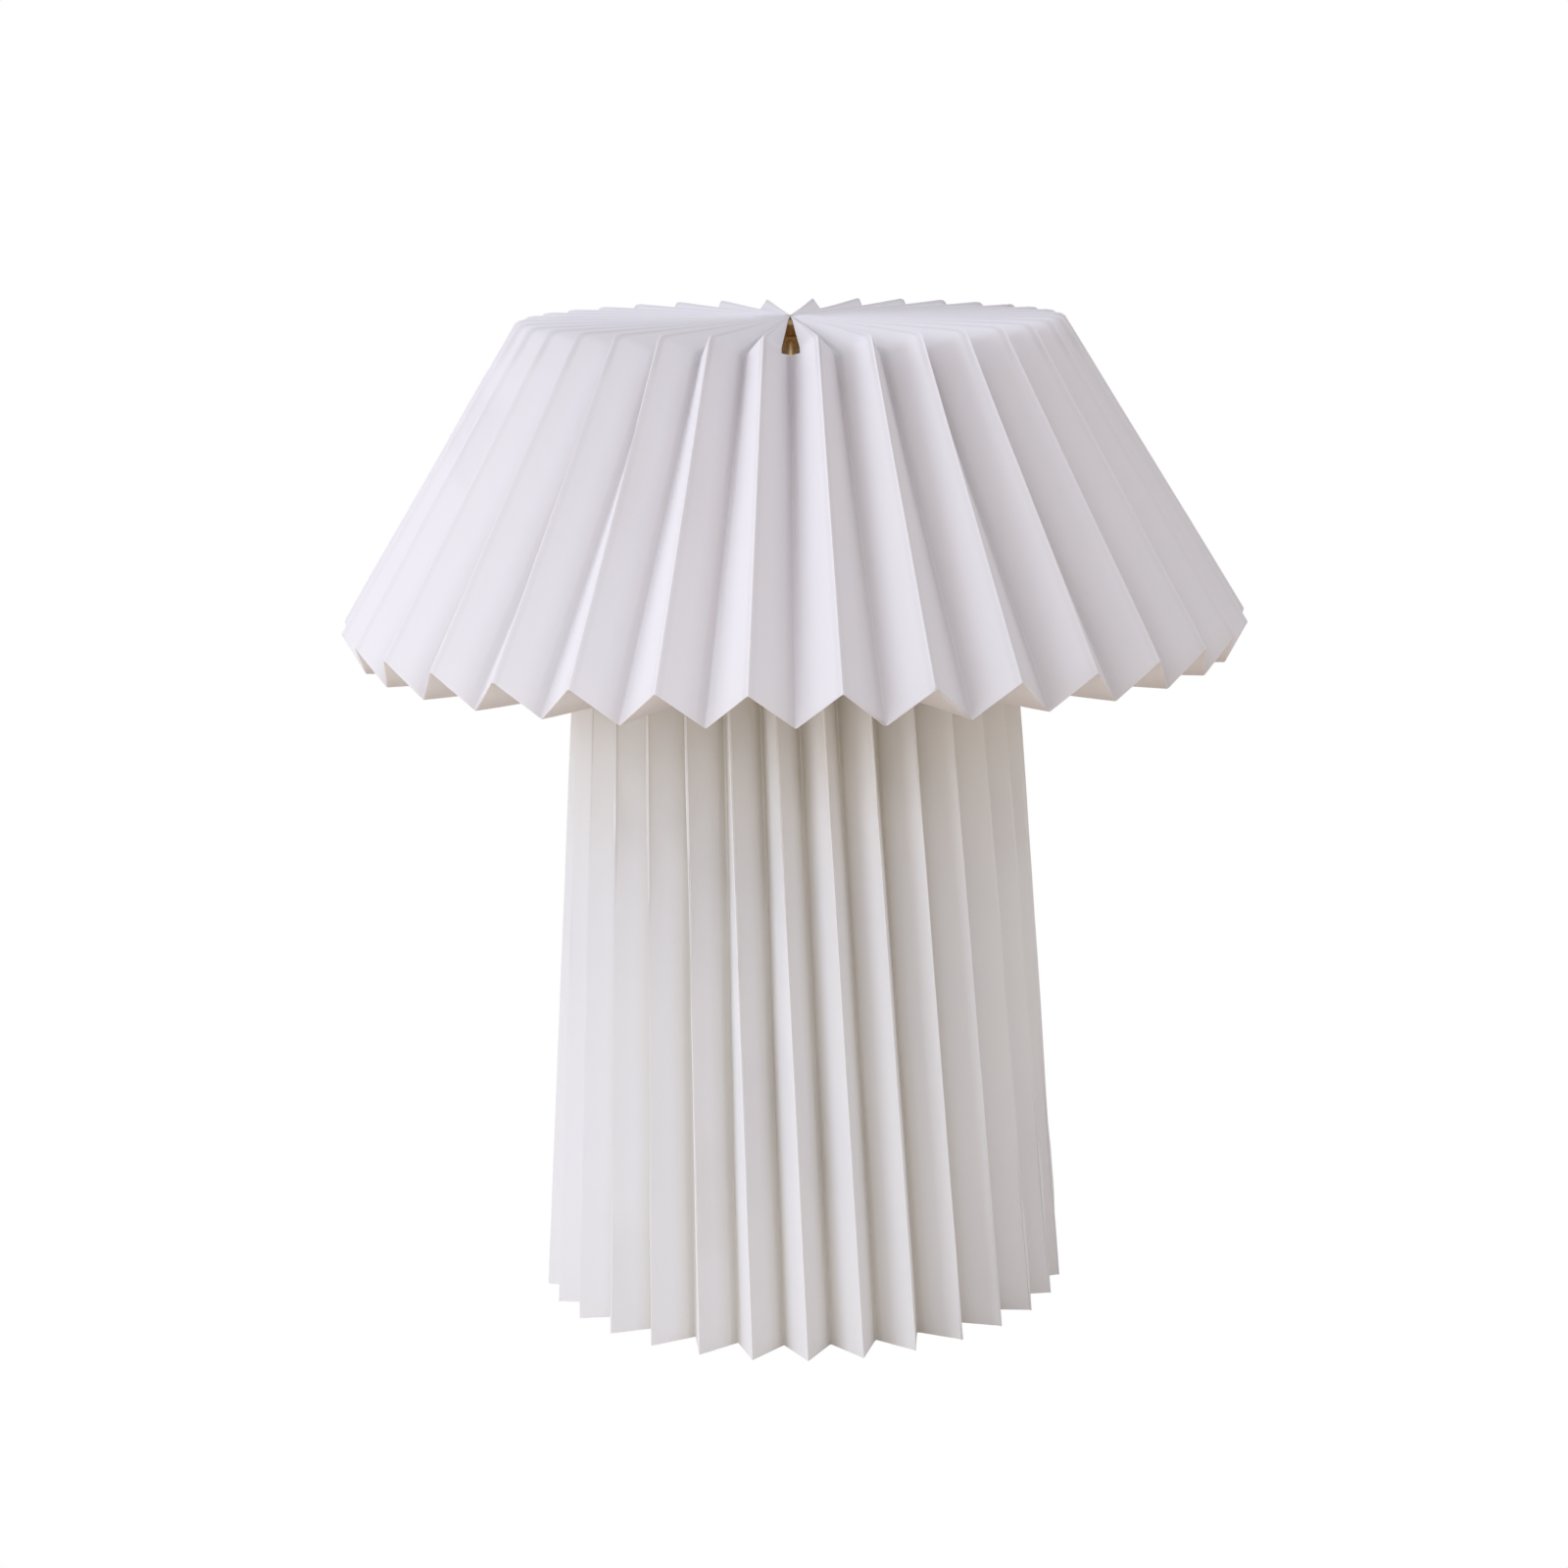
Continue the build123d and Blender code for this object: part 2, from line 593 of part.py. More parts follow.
def inlet_screws():
    """Slotted screws that hold the bracket to the plate."""
    head_low = PLATE_TOP_Z + BRACKET_SHEET
    head_high = head_low + M3_HEAD_HEIGHT
    screws = []
    for x, y in bracket_screw_places():
        screw = rod(M3_R, PLATE_TOP_Z - M3_DEPTH, head_low, x, y)
        screw += rod(M3_HEAD_R, head_low, head_high, x, y)
        slot = Box(2 * M3_HEAD_R, M3_SLOT_WIDTH, 2 * M3_SLOT_DEPTH)
        screws.append(screw - Pos(x, y, head_high) * slot)
    return Compound(children=screws)


def inlet_bushing():
    """Flanged bushing that the cord passes through."""
    body = rod(BUSHING_R, 0, BUSHING_LENGTH)
    flange_low = BUSHING_LENGTH - BUSHING_FLANGE
    body += rod(BUSHING_FLANGE_R, flange_low, BUSHING_LENGTH)
    body -= rod(BUSHING_BORE_R, 0, BUSHING_LENGTH)
    return lying(body, BRACKET_FACE_Y - flange_low)


def inlet_nut():
    """Nut that clamps the bushing to the bracket."""
    nut = hex_nut(BUSHING_NUT_FLATS, BUSHING_R + GLUE, 0, BUSHING_NUT_HEIGHT)
    return lying(nut, BRACKET_FACE_Y - BRACKET_SHEET - BUSHING_NUT_HEIGHT)


# ---- Lamp holder ----
def holder_cap():
    """Lower shell of the lamp holder, screwed to the stem."""
    return turned(
        (STEM_R + GLUE, HOLDER_LOW_Z),
        (HOLDER_NECK_R, HOLDER_LOW_Z),
        (HOLDER_NECK_R, HOLDER_LOW_Z + HOLDER_WALL),
        (HOLDER_R, HOLDER_JOINT_Z - HOLDER_WALL),
        (HOLDER_R, HOLDER_JOINT_Z),
        (HOLDER_BORE_R, HOLDER_JOINT_Z),
        (HOLDER_BORE_R, HOLDER_JOINT_Z - HOLDER_WALL),
        (HOLDER_NECK_R, HOLDER_LOW_Z + STEM_ENTRY),
        (STEM_R + GLUE, HOLDER_LOW_Z + STEM_ENTRY),
    )


def holder_shell():
    """Upper shell of the lamp holder, ribbed outside."""
    shell = tube(HOLDER_R, HOLDER_BORE_R, HOLDER_JOINT_Z, HOLDER_RIM_Z)
    shell += tube(HOLDER_R, SLEEVE_R + SLEEVE_WALL + GLUE, HOLDER_RIM_Z - HOLDER_WALL, HOLDER_RIM_Z)
    count = int((HOLDER_RIM_Z - HOLDER_JOINT_Z) / HOLDER_RIB_PITCH) - 1
    for index in range(count):
        low = HOLDER_JOINT_Z + (index + 1) * HOLDER_RIB_PITCH
        shell += tube(HOLDER_R + HOLDER_RIB, HOLDER_R - HOLDER_RIB, low, low + HOLDER_RIB_PITCH / 2)
    return shell


def holder_insert():
    """Ceramic insert that carries the contacts."""
    insert = rod(HOLDER_BORE_R - SEAT, HOLDER_JOINT_Z, INSERT_TOP_Z)
    for x in (-TERMINAL_SPACING / 2, TERMINAL_SPACING / 2):
        insert -= rod(TERMINAL_R + GLUE, HOLDER_JOINT_Z, HOLDER_JOINT_Z + TERMINAL_LENGTH, x)
    return insert


def holder_sleeve():
    """Metal sleeve that the bulb's cap sits in."""
    return tube(SLEEVE_R + SLEEVE_WALL, SLEEVE_R, SLEEVE_LOW_Z, HOLDER_RIM_Z)


def holder_sleeve_spacer():
    """Insulating ring between the insert and the sleeve."""
    return tube(SLEEVE_R + SLEEVE_WALL, SLEEVE_R - SLEEVE_WALL, INSERT_TOP_Z, SLEEVE_LOW_Z)


def holder_centre_contact():
    """Contact under the bulb's tip."""
    return rod(CENTRE_CONTACT_R, INSERT_TOP_Z, INSERT_TOP_Z + CENTRE_CONTACT_HEIGHT)


def holder_terminals():
    """Two terminal screws in the underside of the insert."""
    places = (-TERMINAL_SPACING / 2, TERMINAL_SPACING / 2)
    return Compound(children=[
        rod(TERMINAL_R, HOLDER_JOINT_Z, HOLDER_JOINT_Z + TERMINAL_LENGTH, x) for x in places
    ])


# ---- Wire frame of the shade ----
def arms():
    """Radial arms from the hub to the shoulder ring."""
    end = SHOULDER_RING_R - WIRE / 2 - GLUE
    arm = bar(WIRE / 2, HUB_R - HUB_SOCKET_DEPTH, end, ARM_Z)
    return spread(arm, 0, ARM_COUNT, ARM_ANGLE)


def hub():
    """Turned hub with sockets for the arms and a post up to the centre disc."""
    body = rod(HUB_R, ARM_Z - HUB_HEIGHT / 2, ARM_Z + HUB_HEIGHT / 2)
    body += rod(POST_R, ARM_Z, CENTRE_DISC_Z)
    socket = bar(WIRE / 2 + GLUE, HUB_R - HUB_SOCKET_DEPTH - GLUE, HUB_R + CUT_MARGIN, ARM_Z)
    return body - spread(socket, 0, ARM_COUNT, ARM_ANGLE)


CENTRE_DISC_TOP_Z = at_radius(TOP_VALLEY_INSIDE, CENTRE_DISC_R) - GLUE
CENTRE_DISC_Z = CENTRE_DISC_TOP_Z - CENTRE_DISC_THICKNESS


def centre_disc():
    """Card disc glued under the middle of the top."""
    return rod(CENTRE_DISC_R, CENTRE_DISC_Z, CENTRE_DISC_TOP_Z)


def saddles():
    """Grooved blocks under the arms that centre the shade on the support ring."""
    low = SUPPORT_RING_Z - SADDLE_SKIRT
    inner = COLUMN_RING_R - SADDLE_LENGTH / 2
    outer = COLUMN_RING_R + SADDLE_LENGTH / 2
    groove = WIRE / 2 + SEAT
    block = Pos(0, -COLUMN_RING_R, (low + ARM_Z) / 2) * Box(SADDLE_WIDTH, SADDLE_LENGTH, ARM_Z - low)
    block -= bar(WIRE / 2 + GLUE, inner - CUT_MARGIN, outer + CUT_MARGIN, ARM_Z)
    block -= Pos(0, 0, SUPPORT_RING_Z) * Torus(COLUMN_RING_R, groove)
    block -= tube(COLUMN_RING_R + groove, COLUMN_RING_R - groove, low, SUPPORT_RING_Z)
    return spread(block, 0, ARM_COUNT, ARM_ANGLE)


def lower_ring():
    """Ring glued inside the skirt near its hem."""
    valley = skirt_creases(PAPER)[1]
    return wire_ring(at_height(valley, LOWER_RING_Z + WIRE / 2) - WIRE / 2 - GLUE, LOWER_RING_Z)


# ---- Bulb ----
HOUSING_TOP_Z = CAP_TOP_Z + BULB_HOUSING_HEIGHT
GLOBE_Z = HOUSING_TOP_Z + sqrt(GLOBE_R ** 2 - BULB_HOUSING_R ** 2)


def bulb_tip():
    """Solder tip of the bulb."""
    return rod(BULB_TIP_R, TIP_LOW_Z, INSULATOR_LOW_Z)


def bulb_insulator():
    """Glass insulator between the tip and the cap."""
    return turned(
        (0, INSULATOR_LOW_Z),
        (BULB_TIP_R, INSULATOR_LOW_Z),
        (BULB_CAP_R - BULB_INSULATOR_INSET, CAP_LOW_Z),
        (0, CAP_LOW_Z),
    )


def bulb_cap():
    """Screw cap of the bulb, its thread shown as rings."""
    outline = [(BULB_CAP_R - BULB_CAP_ROOT, CAP_LOW_Z)]
    for turn in range(THREAD_TURNS):
        low = CAP_LOW_Z + turn * THREAD_PITCH
        outline.append((BULB_CAP_R, low + THREAD_PITCH / 2))
        outline.append((BULB_CAP_R - BULB_CAP_ROOT, low + THREAD_PITCH))
    inner = BULB_CAP_R - BULB_CAP_ROOT - BULB_CAP_WALL
    outline.append((inner, CAP_TOP_Z))
    outline.append((inner, CAP_LOW_Z + BULB_CAP_WALL))
    outline.append((0, CAP_LOW_Z + BULB_CAP_WALL))
    outline.append((0, CAP_LOW_Z))
    return turned(*outline)


def bulb_housing():
    """Plastic housing that widens from the cap to the globe."""
    low_r = BULB_CAP_R - BULB_CAP_ROOT
    return turned(
        (0, CAP_TOP_Z),
        (low_r, CAP_TOP_Z),
        (BULB_HOUSING_R, HOUSING_TOP_Z),
        (BOARD_R, HOUSING_TOP_Z),
        (BOARD_R, HOUSING_TOP_Z - BULB_HOUSING_WALL),
        (0, HOUSING_TOP_Z - BULB_HOUSING_WALL),
    )


def bulb_board():
    """Board of light-emitting diodes, set in the top of the housing."""
    low = HOUSING_TOP_Z - BULB_HOUSING_WALL
    return rod(BOARD_R - GLUE, low, low + BOARD_THICKNESS)


def bulb_globe():
    """Hollow diffusing globe, open at the housing."""
    globe = Pos(0, 0, GLOBE_Z) * (Sphere(GLOBE_R) - Sphere(GLOBE_R - GLOBE_WALL))
    return globe - rod(GLOBE_R, GLOBE_Z - GLOBE_R, HOUSING_TOP_Z)


PIECES = {
    "base_plate": base_plate(),
    "foot_pads": foot_pads(),
    "foot_ring": wire_ring(FOOT_RING_R, FOOT_RING_Z),
    "uprights": uprights(),
    "upright_nuts": upright_nuts(),
    "column_ring": wire_ring(COLUMN_RING_R, COLUMN_RING_Z),
    "support_ring": wire_ring(COLUMN_RING_R, SUPPORT_RING_Z),
    "column_paper": column_paper(),
    "column_seam_strip": column_seam_strip(),
    "stem_tube": stem_tube(),
    "stem_bottom_nut": stem_bottom_nut(),
    "stem_washer": stem_washer(),
    "stem_plate_nut": stem_plate_nut(),
    "stem_holder_nut": stem_holder_nut(),
    "inlet_bracket": inlet_bracket(),
    "inlet_screws": inlet_screws(),
    "inlet_bushing": inlet_bushing(),
    "inlet_nut": inlet_nut(),
    "holder_cap": holder_cap(),
    "holder_shell": holder_shell(),
    "holder_insert": holder_insert(),
    "holder_sleeve": holder_sleeve(),
    "holder_sleeve_spacer": holder_sleeve_spacer(),
    "holder_centre_contact": holder_centre_contact(),
    "holder_terminals": holder_terminals(),
    "shade_skirt_paper": shade_skirt_paper(),
    "shade_top_paper": shade_top_paper(),
    "shade_seam_strip": shade_seam_strip(),
    "shade_shoulder_ring": wire_ring(SHOULDER_RING_R, ARM_Z),
    "shade_lower_ring": lower_ring(),
    "shade_arms": arms(),
    "shade_hub": hub(),
    "shade_saddles": saddles(),
    "shade_centre_disc": centre_disc(),
    "bulb_tip": bulb_tip(),
    "bulb_insulator": bulb_insulator(),
    "bulb_cap": bulb_cap(),
    "bulb_housing": bulb_housing(),
    "bulb_board": bulb_board(),
    "bulb_globe": bulb_globe(),
}

for name, piece in PIECES.items():
    export_step(piece, f"parts/{name}.step")
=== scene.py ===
from math import atan2, cos, hypot, pi, radians, sin

import bmesh
import bpy
from mathutils import Matrix, Vector


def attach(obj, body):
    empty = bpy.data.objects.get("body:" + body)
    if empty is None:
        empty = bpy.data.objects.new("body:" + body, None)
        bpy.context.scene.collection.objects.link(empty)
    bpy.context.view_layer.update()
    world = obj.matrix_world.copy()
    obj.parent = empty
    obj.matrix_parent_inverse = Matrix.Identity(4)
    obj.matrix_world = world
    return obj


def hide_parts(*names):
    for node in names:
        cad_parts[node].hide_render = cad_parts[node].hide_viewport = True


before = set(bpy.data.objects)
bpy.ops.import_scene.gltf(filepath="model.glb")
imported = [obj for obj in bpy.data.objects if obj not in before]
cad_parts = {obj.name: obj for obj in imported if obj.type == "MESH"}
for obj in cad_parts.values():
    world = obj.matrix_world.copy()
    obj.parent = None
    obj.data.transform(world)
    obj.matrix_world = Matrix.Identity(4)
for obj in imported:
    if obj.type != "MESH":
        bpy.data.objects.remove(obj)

# Pleated paper table lamp. Metres, +Z up, the front towards -Y.
# Angles run from the front, counter-clockwise seen from above.

SHADE_PLEATS = 34
SHADE_TOP_Z = 0.3935
HEM_RIDGE_R = 0.180
HEM_RIDGE_Z = 0.2745
HEM_VALLEY_R = 0.1727
HEM_VALLEY_Z = 0.2611
HEM_RETURN_R = 0.118             # inner edge of the return folded in under the skirt
HEM_RETURN_RIDGE_Z = 0.2768
HEM_RETURN_VALLEY_Z = 0.2592
SHOULDER_RIDGE_R = 0.1074
SHOULDER_VALLEY_R = 0.0910
SHOULDER_VALLEY_Z = 0.3849
TOP_HOLE_R = 0.0025
SLIT_AT_SHOULDER = 0.345        # share of the facet beside the front valley that is cut away
SLIT_AT_HOLE = 0.9

COLUMN_PLEATS = 31
COLUMN_FOOT_Z = 0.0006
COLUMN_TOP_Z = 0.2980
COLUMN_FOOT_RIDGE_R = 0.1070
COLUMN_FOOT_VALLEY_R = 0.0900
COLUMN_TOP_RIDGE_R = 0.0863
COLUMN_TOP_VALLEY_R = 0.0686
COLUMN_START = radians(0.7)
COLUMN_TWIST = radians(-6.8)
NOTCH_WIDTH = 0.015
NOTCH_Z = 0.019

PAPER = 0.0005
FOLD = 0.0006                   # half the width of a rounded fold
SHOULDER_FOLD = 0.0018
SHARP_FOLD = radians(14)        # the paper turns more than this at a fold
FLAT_CENTRE_R = 0.014           # inside it the fan's folds are pressed flat
PLEAT_CUTS = 15                 # cuts across each facet, so that it can bow
SHORT_CUTS = 7
BOW = 0.0012                    # how far the facets bow and the folds stray
CREASE_ANGLE = 28               # degrees, edges sharper than this are shaded crisp

CAMERA_PLACE = (0, -1.3200, 0.4834)
CAMERA_YAW = -0.0039
CAMERA_PITCH = 0.2075           # downward
CAMERA_ROLL = -0.0149
CAMERA_LENS = 76.68
CAMERA_SENSOR = 36
SOFTBOX_DISTANCE = 2.2
SOFTBOX_SIZE = 0.9

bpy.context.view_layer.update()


# ---- Modelling with the edit tools ----
def begin():
    """Nothing selected, ready for a new primitive."""
    if bpy.context.mode != "OBJECT":
        bpy.ops.object.mode_set(mode="OBJECT")
    bpy.ops.object.select_all(action="DESELECT")


def place_in_mesh(name):
    """Names the new primitive and moves its place, turn and size into its mesh."""
    bpy.ops.object.transform_apply(location=True, rotation=True, scale=True)
    piece = bpy.context.object
    piece.name = name
    piece.data.name = name
    return piece


def edit(piece):
    """Opens a piece in edit mode with nothing selected."""
    begin()
    bpy.context.view_layer.objects.active = piece
    piece.select_set(True)
    bpy.ops.object.mode_set(mode="EDIT")
    bpy.ops.mesh.select_all(action="DESELECT")


def pick(piece, kind, wanted):
    """Selects the vertices, edges or faces that wanted() accepts."""
    modes = {"verts": "VERT", "edges": "EDGE", "faces": "FACE"}
    bpy.ops.mesh.select_mode(type=modes[kind])
    bpy.ops.mesh.select_all(action="DESELECT")
    shape = bmesh.from_edit_mesh(piece.data)
    for item in getattr(shape, kind):
        if wanted(item):
            item.select_set(True)
    bmesh.update_edit_mesh(piece.data)


def pull(piece, wanted, scale=1.0, lift=0.0, turn=0.0):
    """Scales picked vertices about the lamp's axis, lifts them and turns them."""
    pick(piece, "verts", wanted)
    bpy.ops.transform.resize(value=(scale, scale, 1), center_override=(0, 0, 0))
    bpy.ops.transform.translate(value=(0, 0, lift))
    if turn:
        bpy.ops.transform.rotate(value=-turn, orient_axis="Z", center_override=(0, 0, 0))


def finish_modifier(piece, kind, name, **settings):
    """Adds a modifier with its settings and applies it."""
    begin()
    bpy.context.view_layer.objects.active = piece
    piece.select_set(True)
    modifier = piece.modifiers.new(name, kind)
    for key, value in settings.items():
        setattr(modifier, key, value)
    bpy.ops.object.modifier_apply(modifier=name)


def smooth(piece, degrees):
    """Smooth shading, with edges sharper than an angle left crisp."""
    begin()
    bpy.context.view_layer.objects.active = piece
    piece.select_set(True)
    bpy.ops.object.shade_smooth_by_angle(angle=radians(degrees))


# ---- Folded paper ----
def fold_number(place, pleats, start=0.0):
    """Number of the fold at a place, counted round from the front."""
    return round((atan2(place.x, -place.y) - start) * pleats / pi)


def radius(place):
    return hypot(place.x, place.y)


def is_fold(edge):
    """Whether the paper turns sharply at an edge."""
    return len(edge.link_faces) == 2 and edge.calc_face_angle(0) > SHARP_FOLD


def is_upright(edge):
    """Whether an edge runs the whole height of a new pleat."""
    low, high = edge.verts
    return abs(low.co.z - high.co.z) > 0.05


def soften_folds(piece, wanted, width=FOLD):
    """Rounds the folds, in the second material."""
    pick(piece, "edges", wanted)
    bpy.ops.mesh.bevel(
        offset=width, offset_type="OFFSET", segments=2, profile=0.5, affect="EDGES",
        clamp_overlap=False, material=1,
    )


def relax(piece, name, size):
    """Gives the facets the slight bow and the folds the slight stray of real paper."""
    cloud = bpy.data.textures.new(name, "CLOUDS")
    cloud.noise_scale = size
    cloud.noise_depth = 1
    finish_modifier(
        piece, "DISPLACE", name, texture=cloud, texture_coords="LOCAL", strength=BOW,
        mid_level=0.5,
    )


def thicken(piece):
    """Gives the sheet its thickness, inward, with cut edges in the third material."""
    finish_modifier(
        piece, "SOLIDIFY", "thickness", thickness=PAPER, offset=-1,
        material_offset_rim=2, material_offset=0,
    )


def shade_paper():
    """Fan, skirt and hem return of the shade, folded from one sheet, open at the top's seam."""
    height = SHADE_TOP_Z - HEM_RIDGE_Z
    begin()
    bpy.ops.mesh.primitive_cone_add(
        vertices=2 * SHADE_PLEATS, radius1=HEM_RIDGE_R, radius2=SHOULDER_RIDGE_R, depth=height,
        end_fill_type="NOTHING", location=(0, 0, HEM_RIDGE_Z + height / 2),
    )
    piece = place_in_mesh("shade_paper_folded")
    middle = HEM_RIDGE_Z + height / 2

    def valley(vertex):
        return fold_number(vertex.co, SHADE_PLEATS) % 2 == 0

    edit(piece)
    pull(
        piece, lambda v: valley(v) and v.co.z < middle,
        HEM_VALLEY_R / HEM_RIDGE_R, HEM_VALLEY_Z - HEM_RIDGE_Z,
    )
    pull(
        piece, lambda v: valley(v) and v.co.z > middle,
        SHOULDER_VALLEY_R / SHOULDER_RIDGE_R, SHOULDER_VALLEY_Z - SHADE_TOP_Z,
    )
    pick(piece, "edges", is_upright)
    bpy.ops.mesh.subdivide(number_cuts=PLEAT_CUTS)

    # The return, folded in under the skirt along the hem.
    pick(piece, "edges", lambda e: e.is_boundary and e.verts[0].co.z < middle)
    bpy.ops.mesh.extrude_region()
    pull(
        piece, lambda v: v.is_boundary and valley(v) and v.co.z < middle,
        HEM_RETURN_R / HEM_VALLEY_R, HEM_RETURN_VALLEY_Z - HEM_VALLEY_Z,
    )
    pull(
        piece, lambda v: v.is_boundary and not valley(v) and v.co.z < middle,
        HEM_RETURN_R / HEM_RIDGE_R, HEM_RETURN_RIDGE_Z - HEM_RIDGE_Z,
    )
    pick(
        piece, "edges",
        lambda e: e.verts[0].co.z < middle
        and abs(radius(e.verts[0].co) - radius(e.verts[1].co)) > 0.05,
    )
    bpy.ops.mesh.subdivide(number_cuts=SHORT_CUTS)

    # The fan of the top, drawn in from the shoulder to a small hole.
    pick(piece, "edges", lambda e: e.is_boundary and e.verts[0].co.z > middle)
    bpy.ops.mesh.extrude_region()
    inward = TOP_HOLE_R / SHOULDER_RIDGE_R
    bpy.ops.transform.resize(value=(inward, inward, 0), center_override=(0, 0, SHADE_TOP_Z))

    # The open seam of the fan, cut through the two facets beside the front valley.
    half = pi / SHADE_PLEATS

    def in_fan(face):
        return radius(face.calc_center_median()) < SHOULDER_VALLEY_R * 0.75

    def angle_of(face):
        place = face.calc_center_median()
        return atan2(place.x, -place.y)

    for side in (-1, 1):
        valley_point = Vector((0, -SHOULDER_VALLEY_R, 0))
        ridge_point = Vector((side * sin(half), -cos(half), 0)) * SHOULDER_RIDGE_R
        start = valley_point.lerp(ridge_point, SLIT_AT_SHOULDER)
        hole_valley = valley_point * (TOP_HOLE_R / SHOULDER_RIDGE_R)
        hole_ridge = ridge_point * (TOP_HOLE_R / SHOULDER_RIDGE_R)
        end = hole_valley.lerp(hole_ridge, SLIT_AT_HOLE)
        along = end - start
        pick(piece, "faces", lambda f: in_fan(f) and 0 < side * angle_of(f) < half)
        bpy.ops.mesh.bisect(plane_co=start, plane_no=Vector((-along.y, along.x, 0)))
    pick(piece, "faces", lambda f: in_fan(f) and abs(angle_of(f)) < half * 0.4)
    bpy.ops.mesh.delete(type="FACE")
    pick(
        piece, "edges",
        lambda e: min(radius(v.co) for v in e.verts) < 0.01
        and max(radius(v.co) for v in e.verts) > 0.05,
    )
    bpy.ops.mesh.subdivide(number_cuts=SHORT_CUTS)

    # The hem and the shoulder are rounded first, then the folds that run into them.
    def runs_along_pleat(edge):
        low, high = (fold_number(v.co, SHADE_PLEATS) for v in edge.verts)
        return low == high

    def crosses_pleats(edge, width):
        at_shoulder = edge.verts[0].co.z > middle
        return is_fold(edge) and not runs_along_pleat(edge) and at_shoulder == (width > FOLD)

    for width in (SHOULDER_FOLD, FOLD):
        soften_folds(piece, lambda e: crosses_pleats(e, width), width)
    soften_folds(
        piece,
        lambda e: is_fold(e) and runs_along_pleat(e)
        and (radius(e.verts[0].co) + radius(e.verts[1].co)) / 2 > FLAT_CENTRE_R,
    )
    begin()
    relax(piece, "shade_bow", 0.09)
    thicken(piece)
    smooth(piece, CREASE_ANGLE)
    return piece


def column_paper():
    """Pleated tube of the column, slightly tapered and twisted, notched at the back."""
    height = COLUMN_TOP_Z - COLUMN_FOOT_Z
    middle = COLUMN_FOOT_Z + height / 2
    begin()
    bpy.ops.mesh.primitive_cone_add(
        vertices=2 * COLUMN_PLEATS, radius1=COLUMN_FOOT_RIDGE_R, radius2=COLUMN_TOP_RIDGE_R,
        depth=height, end_fill_type="NOTHING", location=(0, 0, middle),
        rotation=(0, 0, COLUMN_START),
    )
    piece = place_in_mesh("column_paper_folded")

    def valley(vertex):
        return fold_number(vertex.co, COLUMN_PLEATS, COLUMN_START) % 2 == 1

    edit(piece)
    pull(
        piece, lambda v: valley(v) and v.co.z < middle,
        COLUMN_FOOT_VALLEY_R / COLUMN_FOOT_RIDGE_R,
    )
    pull(
        piece, lambda v: valley(v) and v.co.z > middle, COLUMN_TOP_VALLEY_R / COLUMN_TOP_RIDGE_R
    )
    pull(piece, lambda v: v.co.z > middle, turn=COLUMN_TWIST)
    pick(piece, "edges", is_upright)
    bpy.ops.mesh.subdivide(number_cuts=PLEAT_CUTS)
    soften_folds(piece, is_fold)
    begin()
    relax(piece, "column_bow", 0.08)
    thicken(piece)

    # The arched notch in the foot, at the back.
    begin()
    bpy.ops.mesh.primitive_cylinder_add(
        vertices=32, radius=NOTCH_WIDTH / 2, depth=0.034,
        location=(0, COLUMN_FOOT_VALLEY_R + 0.008, NOTCH_Z), rotation=(pi / 2, 0, 0),
    )
    cutter = place_in_mesh("notch_cutter")
    edit(cutter)
    pick(cutter, "faces", lambda f: f.normal.z < -0.001)
    bpy.ops.mesh.extrude_region()
    bpy.ops.transform.translate(value=(0, 0, -0.03))
    begin()
    finish_modifier(piece, "BOOLEAN", "notch", object=cutter, operation="DIFFERENCE")
    bpy.data.objects.remove(cutter)

    # Its many-sided cut faces, split while they are flat.
    edit(piece)
    pick(piece, "faces", lambda f: len(f.verts) > 4)
    bpy.ops.mesh.quads_convert_to_tris(quad_method="BEAUTY", ngon_method="BEAUTY")
    smooth(piece, CREASE_ANGLE)
    return piece


# ---- Finishes ----
class Value:
    """Output of a node. Arithmetic on it adds Math nodes."""

    def __init__(self, finish, socket):
        self.finish = finish
        self.socket = socket

    def math(self, operation, first, second=None):
        sockets = {0: first} if second is None else {0: first, 1: second}
        return self.finish.node("ShaderNodeMath", {"operation": operation}, sockets)

    def __add__(self, other):
        return self.math("ADD", self, other)

    def __radd__(self, other):
        return self.math("ADD", other, self)

    def __sub__(self, other):
        return self.math("SUBTRACT", self, other)

    def __rsub__(self, other):
        return self.math("SUBTRACT", other, self)

    def __mul__(self, other):
        return self.math("MULTIPLY", self, other)

    def __rmul__(self, other):
        return self.math("MULTIPLY", other, self)

    def ramp(self, low, high):
        """0 at the low value and 1 at the high one, eased at both ends."""
        return self.finish.node(
            "ShaderNodeMapRange", {"interpolation_type": "SMOOTHSTEP"},
            {"Value": self, "From Min": low, "From Max": high},
        )


